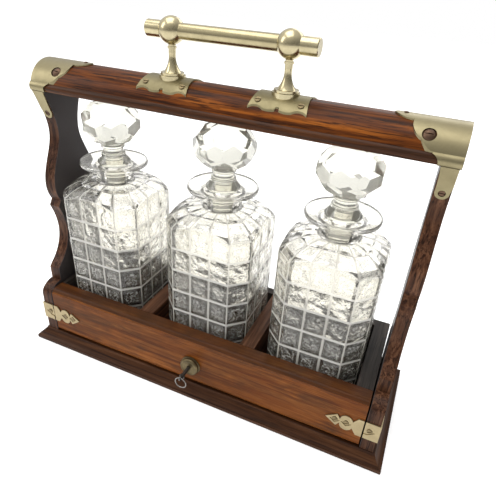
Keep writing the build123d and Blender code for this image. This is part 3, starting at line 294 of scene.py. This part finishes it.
# dark, middle and light streaks of each wood
ROSEWOOD = ((0.024, 0.006, 0.001), (0.135, 0.033, 0.003), (0.33, 0.095, 0.011))
MAHOGANY = ((0.105, 0.027, 0.004), (0.205, 0.060, 0.009), (0.31, 0.108, 0.022))
BROWN = ((0.030, 0.012, 0.007), (0.086, 0.036, 0.018), (0.175, 0.080, 0.042))
UMBER = ((0.024, 0.009, 0.004), (0.056, 0.021, 0.008), (0.092, 0.038, 0.016))
BLACK = ((0.020, 0.016, 0.014), (0.040, 0.032, 0.027), (0.066, 0.052, 0.043))

# noise scales of each feature of the grain, along it and across it
STREAKS = (7, 190)
CLOUDS = (9, 34)
DASHES = (26, 560)
PORES = (140, 2600)
CLOUD_DARK = 0.8           # how much of the dark tone the clouds take on at full contrast
DASH_DARK = 0.85           # the same for the dashes and their still darker tone
DASH_TONE = 0.3            # light of that tone, as a share of the dark tone's
PORE_DEPTH = 0.00006
DULLER = 0.16              # how much rougher the wood is in its darkest clouds
COAT_ROUGH = 0.24
WOOD_SPECULAR = 0.05

BEAD_RISE = 0.0067         # rail's underside to the crease over its bead
# painted shade on the bead under the rail's dome
BEAD_PAINTED_SHADE = (0.036, 0.017, 0.009, 1)
BEAD_SHARE = 0.72          # share of the painted shade in the bead
SMOKE_SCALE = (15, 15, 60)
FLAP_SMOKE = (0.050, 0.020, 0.007, 1)
FLAP_BAND = 0.0030         # height of the flap's dark, handled top
FLAP_DULL = (0.030, 0.014, 0.007, 1)
FLAP_SHARE = 0.62          # share of that colour in it
INNER_FACE = 0.0003        # how far the painted shade on the uprights' inner faces reaches in
# painted shade that darkens the uprights' inner faces to near-black
INNER_PAINTED_SHADE = (0.052, 0.044, 0.043, 1)


def stretch(along, scales):
    """Noise scales of a grain that runs along one axis."""
    slow, fast = scales
    return tuple(slow if axis == along else fast for axis in "xyz")


def wood(name, along, tones, contrast=1.0, gloss=0.34, polish=0.12, shade=None):
    """Polished wood: long streaks, dark dashes, fine pores and broad clouds along the grain.

    contrast is the strength of the dark parts, gloss the roughness where the wood shines most,
    polish the coat's weight, and shade a function that recolours a part of the piece.
    """
    dark, mid, light = tones
    paint = Paint(name)
    streaks = paint.noise(stretch(along, STREAKS), 1.3, detail=6.0, rough=0.66, warp=0.5)
    body = paint.ramp(streaks, [(0.36, dark), (0.66, light), (0.50, mid)])
    clouds = paint.noise(stretch(along, CLOUDS), 1.0, detail=3.0, rough=0.55, warp=0.4)
    clouded = paint.ramp(clouds, [(0.36, 0.0), (0.70, CLOUD_DARK * contrast)])
    body = paint.mix(clouded, body, (*dark, 1))
    dashes = paint.noise(stretch(along, DASHES), 1.2, detail=3.0, rough=0.7, warp=0.3)
    dashed = paint.ramp(dashes, [(0.52, 0.0), (0.62, DASH_DARK * contrast)])
    body = paint.mix(dashed, body, dim(dark, DASH_TONE))
    if shade is not None:
        body = shade(paint, body)
    pores = paint.noise(stretch(along, PORES), 1.0, detail=2.0, rough=0.5)
    normal = paint.bump(pores, PORE_DEPTH, 0.6)
    rough = paint.ramp(clouds, [(0.3, gloss), (0.8, gloss + DULLER)])
    coat = {"Coat_Weight": polish, "Coat_Roughness": COAT_ROUGH}
    paint.shader(body, rough, normal=normal, Specular_IOR_Level=WOOD_SPECULAR, **coat)
    return paint.done()


def shade_bead(paint, body):
    """Bead under the rail's dome darkened with painted shade."""
    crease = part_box("top_rail")[0].z + BEAD_RISE
    darker_body = paint.mix(BEAD_SHARE, body, BEAD_PAINTED_SHADE)
    return paint.mix(past(paint, "Z", crease, -1), body, darker_body)


def shade_flap_top(paint, body):
    """Smoky patches over the flap and its dark, handled top."""
    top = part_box("front_flap")[1].z
    smoke = paint.noise(SMOKE_SCALE, 1.0, detail=5.0, rough=0.65, warp=1.2)
    body = paint.mix(paint.ramp(smoke, [(0.42, 0.0), (0.68, 0.8)]), body, FLAP_SMOKE)
    darker_body = paint.mix(FLAP_SHARE, body, FLAP_DULL)
    return paint.mix(past(paint, "Z", top - FLAP_BAND), body, darker_body)


def shade_inner_face(paint, body):
    """Inner faces of the uprights painted near-black as shade."""
    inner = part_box("upright_right")[0].x
    return paint.mix(past(paint, "X", inner + INNER_FACE, -1, fold=True), body, INNER_PAINTED_SHADE)


def paint_frame_wood():
    """Rail, flap and uprights."""
    rail = wood("rail_wood", "x", ROSEWOOD, polish=0.14, shade=shade_bead)
    flap = wood("flap_wood", "x", MAHOGANY, contrast=0.45, shade=shade_flap_top)
    upright = wood("upright_wood", "z", BROWN, contrast=0.9, shade=shade_inner_face)
    set_material(["top_rail"], rail)
    set_material(["front_flap"], flap)
    set_material(both("upright"), upright)


def paint_tray_wood():
    """Plinth, tray and dividers, each with its grain along its length."""
    plinth = {"contrast": 0.5, "gloss": 0.42}
    inner = {"contrast": 0.4, "gloss": 0.45}
    set_material(["plinth_front", "plinth_back"], wood("plinth_wood", "x", UMBER, **plinth))
    set_material(both("plinth"), wood("plinth_side_wood", "y", UMBER, **plinth))
    set_material(["tray_back", "base_board"], wood("back_wood", "x", BLACK, **inner))
    set_material(both("tray_end"), wood("end_wood", "y", BLACK, **inner))
    set_material(both("divider"), wood("divider_wood", "y", BROWN, contrast=0.5, gloss=0.5))


# ---------------------------------------------------------------- cloth and metal

BAIZE_GREEN = (0.05, 0.12, 0.06)
MAT_RED = (0.10, 0.06, 0.05)
NAP_SCALE = (900, 900, 900)
NAP_DEPTH = 0.0002
CLOTH_ROUGH = 0.95
CLOTH_SHEEN = 0.3

CLOUD_SCALE = (60, 60, 60)
SPECKLE_SCALE = (260, 260, 260)
SCRATCH_SCALE = (1200, 160, 1200)
SCRATCH_DEPTH = 0.00003
SPECKLE_DARK = 0.35        # strength of the dark specks, as a share of the tarnish
TARNISH_ROUGH = 0.14       # how much rougher the metal is where it is tarnished most

# name, bright colour, tarnished colour, roughness, tarnish and nodes
METALS = [
    ("satin_brass", (0.56, 0.49, 0.31), (0.24, 0.20, 0.11), 0.17, 0.5,
     both("handle_post") + both("handle_ball") + both("handle_end")
     + ["lock_case", "lock_cover", "lock_pinion"] + both("pivot_bush") + both("flap_lug")),
    ("bar_brass", (0.45, 0.39, 0.235), (0.20, 0.165, 0.09), 0.17, 0.5, ["handle_bar"]),
    ("cap_brass", (0.29, 0.25, 0.145), (0.18, 0.15, 0.08), 0.34, 0.45, both("corner_cap")),
    ("plate_brass", (0.25, 0.215, 0.12), (0.12, 0.10, 0.05), 0.36, 0.5, both("handle_plate")),
    ("strap_brass", (0.41, 0.335, 0.195), (0.22, 0.17, 0.10), 0.34, 0.5,
     both("flap_strap") + both("upright_strap")),
    ("dark_brass", (0.165, 0.13, 0.068), (0.06, 0.047, 0.03), 0.38, 0.8, ["lock_collar"]),
    ("dark_steel", (0.14, 0.13, 0.12), (0.05, 0.045, 0.04), 0.4, 0.7,
     ["key", "flap_pins", "frame_pivots", "frame_stops"] + both("lock_bolt")),
    ("ring_steel", (0.26, 0.245, 0.23), (0.10, 0.095, 0.09), 0.25, 0.5, ["key_ring"]),
    ("screw_brass", (0.28, 0.22, 0.12), (0.10, 0.075, 0.045), 0.35, 0.7,
     ["handle_plate_screws", "flap_strap_screws", "upright_strap_screws"]),
    ("screw_steel", (0.17, 0.105, 0.070), (0.055, 0.032, 0.022), 0.4, 0.8, ["cap_screws"]),
]


def baize(name, colour):
    """Short wool cloth."""
    paint = Paint(name)
    nap = paint.noise(NAP_SCALE, 1.0, detail=3.0, rough=0.8)
    body = paint.mix(paint.ramp(nap, [(0.3, 0.0), (0.7, 0.5)]), (*colour, 1), dim(colour, 0.5))
    normal = paint.bump(nap, NAP_DEPTH, 0.8)
    paint.shader(body, CLOTH_ROUGH, normal=normal, Sheen_Weight=CLOTH_SHEEN)
    return paint.done()


def paint_cloth():
    """Baize under the base and mats under the decanters."""
    set_material(["base_baize"], baize("base_cloth", BAIZE_GREEN))
    set_material(["floor_mats"], baize("mat_cloth", MAT_RED))


def metal(name, light, dark, rough, tarnish):
    """Old satin metal with cloudy tarnish and fine scratches."""
    paint = Paint(name)
    clouds = paint.noise(CLOUD_SCALE, 1.2, detail=6.0, rough=0.65, warp=0.4)
    fine = paint.noise(SPECKLE_SCALE, 2.0, detail=3.0, rough=0.7)
    clouded = paint.ramp(clouds, [(0.35, 0.0), (0.75, tarnish)])
    specks = paint.ramp(fine, [(0.55, 0.0), (0.75, SPECKLE_DARK * tarnish)])
    body = paint.mix(clouded, (*light, 1), (*dark, 1))
    body = paint.mix(specks, body, (*dark, 1))
    scratch = paint.noise(SCRATCH_SCALE, 1.0, detail=2.0, rough=0.6)
    normal = paint.bump(scratch, SCRATCH_DEPTH, 0.2)
    shine = paint.ramp(clouds, [(0.3, rough), (0.8, rough + TARNISH_ROUGH)])
    paint.shader(body, shine, metal=1.0, normal=normal)
    return paint.done()


def paint_metal():
    """Handle, caps, plates, straps, hinges, lock and screws."""
    for name, light, dark, rough, tarnish, pieces in METALS:
        set_material(pieces, metal(name, light, dark, rough, tarnish))


# ---------------------------------------------------------------- glass

GLASS_IOR = 1.52
EVEN = (1, 1, 1)
WAVES = 100.0              # noise scales of the pressed surface's waves, its marks and its frost
MARKS = 300.0
FROST = 560.0
MARK_SHARE = 0.32          # share of the marks in the relief

# kinds of glass on a decanter, by their place in its list of materials
BLOCK, GROOVE_ROUND, GROOVE_UP, SMOOTH, NECK, RIM = range(6)


def glass(name, tint, rough=0.0, ripple=0.0, frost=0.0, **extra):
    """Lead glass, rippled where it was pressed or cut and flecked where its surface is frosted."""
    paint = Paint(name)
    normal = None
    if ripple:
        broad = paint.noise(EVEN, WAVES, detail=0.0, rough=0.5, warp=0.8)
        fine = paint.noise(EVEN, MARKS, detail=2.0, rough=0.6, warp=0.4)
        normal = paint.bump(paint.mix(MARK_SHARE, broad, fine), ripple)
    made = paint.shader(tint, rough, normal=normal, IOR=GLASS_IOR, **extra)
    if frost:
        flecks = paint.noise(EVEN, FROST, detail=2.0, rough=0.65, warp=0.4)
        clear = paint.ramp(flecks, [(0.50, 1.0), (0.58, 1.0 - frost)])
        paint.link(clear, made.inputs["Transmission Weight"])
    return paint.done()


def paint_stoppers():
    """Clear, slightly ivory stoppers."""
    clear = glass("clear_glass", (0.996, 0.985, 0.895), Transmission_Weight=0.86)
    set_material(["stopper_left", "stopper_middle", "stopper_right"], clear)


def decanter_glass():
    """The decanters' materials, in the order of the kinds above."""
    return [
        glass("pressed_glass", (0.985, 0.96, 0.87), ripple=0.0032, frost=0.34),
        # horizontal grooves: a lighter copy of the groove glass, painted light
        glass("round_groove_painted_light", (0.86, 0.84, 0.77), rough=0.2, Transmission_Weight=0.48),
        # upright grooves and the lines on the shoulder: a darker copy of it, painted shade
        glass("up_groove_painted_shade", (0.78, 0.755, 0.68), rough=0.15, Transmission_Weight=0.52),
        glass("dome_glass", (0.985, 0.975, 0.94), ripple=0.0003, Transmission_Weight=0.98),
        glass("neck_glass", (0.91, 0.895, 0.84), rough=0.03, Transmission_Weight=0.88),
        glass("bevel_glass", (0.79, 0.765, 0.68), ripple=0.0028, frost=0.12),
    ]


# ---------------------------------------------------------------- decanters, in millimetres

MM = 0.001
BODY_HALF = 40.0           # decanter's half width
CORNER_CUT = 13.7
FACE_COLUMNS = 3           # columns of cells on a face; a cut corner has one
FOOT_SHRINK = 0.93         # foot against the body
FOOT_EDGE = 0.7            # height of the body's lower edge
LINE_TOP = 124.9           # highest groove round the body
ROW_PITCH = 20.7
ROWS = 6                   # grooves round the body
GROOVE = 1.0               # groove depth
GROOVE_SHARE = 0.055       # half a groove's width, as a share of its column or row
BEVEL = 0.75               # how far a block's edges fall below its flat middle
BEVEL_FROM = 0.30          # where the bevel starts, as a share of the column or row
BEVEL_RUN = 0.25           # width of the bevel, as the same share
BEVEL_POWER = 1.5
CELL = (0.0, 0.055, 0.20, 0.30, 0.70, 0.80, 0.945)   # samples over a column or a row
DOME_START = (48.4, 142.0)  # radius and height at the cut corners
DOME_MID = (36.4, 150.1)
DOME_END = (17.4, 154.5)
SHARP_ANGLE = 35

# ring of cuts on the shoulder
DOME_INSET = 0.6           # where the shoulder starts inside the lattice
DOME_CUT = 0.9             # depth of the cuts
SIDE_CUT = 0.8             # depth of the lines between them
SIDE_SHARE = 0.12          # half their width, as a share of the column
SIDE_FADE = 0.5            # how much shallower they are at the neck
CUT_LEAN = 0.3             # how far a cut also moves inwards
# share of the way to the neck and of the cut's depth
SHOULDER_CUTS = [
    (0.0, 1.0), (0.04, 0.35), (0.2, 0.0), (0.4, 0.0), (0.52, 0.3), (0.56, 1.0),
    (0.6, 0.3), (0.75, 0.0), (0.92, 0.0), (0.98, 0.5), (1.0, 0.7),
]
# radius and height over the neck, its ring, the lip and the lip's dish
NECK_PROFILE = [
    (17.4, 154.5), (16.4, 155.3), (16.2, 156.4), (16.2, 161.4), (17.3, 161.7), (17.6, 162.4),
    (17.6, 164.2), (17.3, 164.7), (16.4, 164.9), (17.6, 165.7), (20.7, 166.9), (25.0, 167.8),
    (28.3, 168.5), (29.3, 169.3), (29.5, 170.4), (29.3, 171.5), (28.5, 172.3), (26.5, 171.4),
    (22.7, 169.4), (17.0, 168.4), (12.6, 168.1), (9.6, 168.1), (9.28, 167.8),
]
DISH_SPANS = 3             # last spans of that profile, which have the smooth glass
# radius and height down the ground bore and under the shoulder
BORE_PROFILE = [(9.0, 160.0), (8.45, 149.8), (10.4, 149.4), (20.0, 148.6), (31.0, 146.9)]
# wall and height down the square hollow
HOLLOW = [
    (6.4, 143.6), (5.1, 139.5), (5.0, 120.0), (5.0, 90.0), (5.0, 50.0), (5.2, 14.0), (8.0, 9.4),
    (12.0, 9.0),
]


def circle_through(a, b, c):
    """Centre and radius of the circle through three points."""
    ax, ay = a
    bx, by = b
    cx, cy = c
    aa = ax**2 + ay**2
    bb = bx**2 + by**2
    cc = cx**2 + cy**2
    d = 2 * (ax * (by - cy) + bx * (cy - ay) + cx * (ay - by))
    ux = (aa * (by - cy) + bb * (cy - ay) + cc * (ay - by)) / d
    uy = (aa * (cx - bx) + bb * (ax - cx) + cc * (bx - ax)) / d
    return (ux, uy), math.hypot(ax - ux, ay - uy)


DOME_CENTRE, DOME_RADIUS = circle_through(DOME_START, DOME_MID, DOME_END)


def dome_height(r):
    """Height of the domed shoulder at a distance from the axis."""
    run = DOME_RADIUS**2 - (r - DOME_CENTRE[0]) ** 2
    return DOME_CENTRE[1] + math.sqrt(max(run, 0))


def outline():
    """Points round the cut square: place, outward normal and share of the way over the column."""
    a = BODY_HALF
    b = a - CORNER_CUT
    face = ((a, -b), (a, b), FACE_COLUMNS, (1, 0))
    corner = ((a, b), (b, a), 1, (math.sqrt(0.5), math.sqrt(0.5)))
    points = []
    for quarter in range(4):
        turn = Matrix.Rotation(quarter * math.pi / 2, 2)
        for start, end, columns, normal in (face, corner):
            for column in range(columns):
                for u in CELL:
                    t = (column + u) / columns
                    x = start[0] + (end[0] - start[0]) * t
                    y = start[1] + (end[1] - start[1]) * t
                    points.append((turn @ Vector((x, y)), turn @ Vector(normal), u))
    return points


def pillow_drop(u, v):
    """How far the surface lies inside the flat at a place in its cell."""
    edge = min(u, 1 - u, v, 1 - v)
    groove = GROOVE * max(0.0, 1 - edge / GROOVE_SHARE)
    slope = min(1.0, max(0.0, (BEVEL_FROM - edge) / BEVEL_RUN))
    return max(groove, BEVEL * slope**BEVEL_POWER)


def lattice_rows(points, low, tops):
    """Rings of one row of cells, from one height up to a height at each point."""
    rings = []
    for v in CELL:
        ring = []
        for (p, n, u), top in zip(points, tops):
            q = p - n * pillow_drop(u, v)
            ring.append((q.x, q.y, low + (top - low) * v))
        rings.append(ring)
    return rings


def body_rings(points):
    """Rings from the foot to the end of the lattice on the shoulder."""
    rings = [[(p.x * FOOT_SHRINK, p.y * FOOT_SHRINK, 0.0) for p, n, u in points]]
    lines = [LINE_TOP - ROW_PITCH * k for k in reversed(range(ROWS))]
    for low, high in zip([FOOT_EDGE] + lines[:-1], lines):
        rings += lattice_rows(points, low, [high] * len(points))
    rings += lattice_rows(points, LINE_TOP, [dome_height(p.length) for p, n, u in points])
    return rings


def shoulder_rings(points):
    """Rings of the domed shoulder with its ring of cuts, up to the neck."""
    rings = []
    for t, cut in SHOULDER_CUTS:
        ring = []
        for p, n, u in points:
            way = p.normalized()
            start = p.length - DOME_INSET
            r = start + (DOME_END[0] - start) * t
            side = SIDE_CUT * max(0.0, 1 - min(u, 1 - u) / SIDE_SHARE) * (1 - SIDE_FADE * t)
            fall = max(DOME_CUT * cut, side)
            q = way * (r - CUT_LEAN * fall)
            ring.append((q.x, q.y, dome_height(r) - fall))
        rings.append(ring)
    return rings


def round_rings(points, profile):
    """Circles of a profile, with a point in each direction of the outline."""
    return [[(*(p.normalized() * r), z) for p, n, u in points] for r, z in profile]


def hollow_rings(points):
    """Rings of the square hollow, down to its floor."""
    rings = []
    for wall, z in HOLLOW:
        rings.append([(*(p * (1 - wall / BODY_HALF)), z) for p, n, u in points])
    return rings


def cut_kind(k, i):
    """Material of the face above point i of ring k."""
    samples = len(CELL)
    edge = (0, samples - 1)
    slope = (1, samples - 2)
    row, column = k - 1, i % samples
    lattice_end = (ROWS + 1) * samples
    dome_end = lattice_end + len(SHOULDER_CUTS) - 1
    neck_end = dome_end + len(NECK_PROFILE) - DISH_SPANS
    if dome_end <= row < neck_end:
        return NECK
    if row < 0 or row >= dome_end:
        return SMOOTH
    if row < lattice_end and row % samples in edge:
        return GROOVE_ROUND
    if column in edge:
        return GROOVE_UP
    if row >= lattice_end:
        return SMOOTH
    return RIM if column in slope or row % samples in slope else BLOCK


def ring_mesh(rings, name, materials):
    """Closed mesh through rings of points, each ring as long as the others, capped at both ends."""
    count = len(rings[0])
    verts = [p for ring in rings for p in ring]
    faces = []
    for k in range(len(rings) - 1):
        low, high = k * count, (k + 1) * count
        for i in range(count):
            j = (i + 1) % count
            faces.append((low + i, low + j, high + j, high + i))
    kinds = [cut_kind(*divmod(n, count)) for n in range(len(faces))] + [SMOOTH, SMOOTH]
    faces.append(tuple(reversed(range(count))))
    top = (len(rings) - 1) * count
    faces.append(tuple(top + i for i in range(count)))
    mesh = bpy.data.meshes.new(name)
    mesh.from_pydata([tuple(c * MM for c in v) for v in verts], [], faces)
    mesh.validate()
    mesh.update()
    mesh.polygons.foreach_set("use_smooth", [True] * len(mesh.polygons))
    mesh.set_sharp_from_angle(angle=math.radians(SHARP_ANGLE))
    for material in materials:
        mesh.materials.append(material)
    mesh.polygons.foreach_set("material_index", kinds)
    return mesh


def add_decanters():
    """Cut-glass decanters in place of the plain solids."""
    points = outline()
    outer = body_rings(points) + shoulder_rings(points) + round_rings(points, NECK_PROFILE)
    inner = round_rings(points, BORE_PROFILE) + hollow_rings(points)
    mesh = ring_mesh(outer + inner, "cut_decanter", decanter_glass())
    for side in ("left", "middle", "right"):
        low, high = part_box("decanter_" + side)
        data = mesh.copy()
        data.transform(Matrix.Translation(((low.x + high.x) / 2, (low.y + high.y) / 2, low.z)))
        piece = bpy.data.objects.new("cut_decanter_" + side, data)
        bpy.context.scene.collection.objects.link(piece)
        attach(piece, "decanter_" + side)
        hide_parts("decanter_" + side)


add_camera()
add_floor()
add_world()
add_lights()
paint_frame_wood()
paint_tray_wood()
paint_cloth()
paint_metal()
paint_stoppers()
add_decanters()
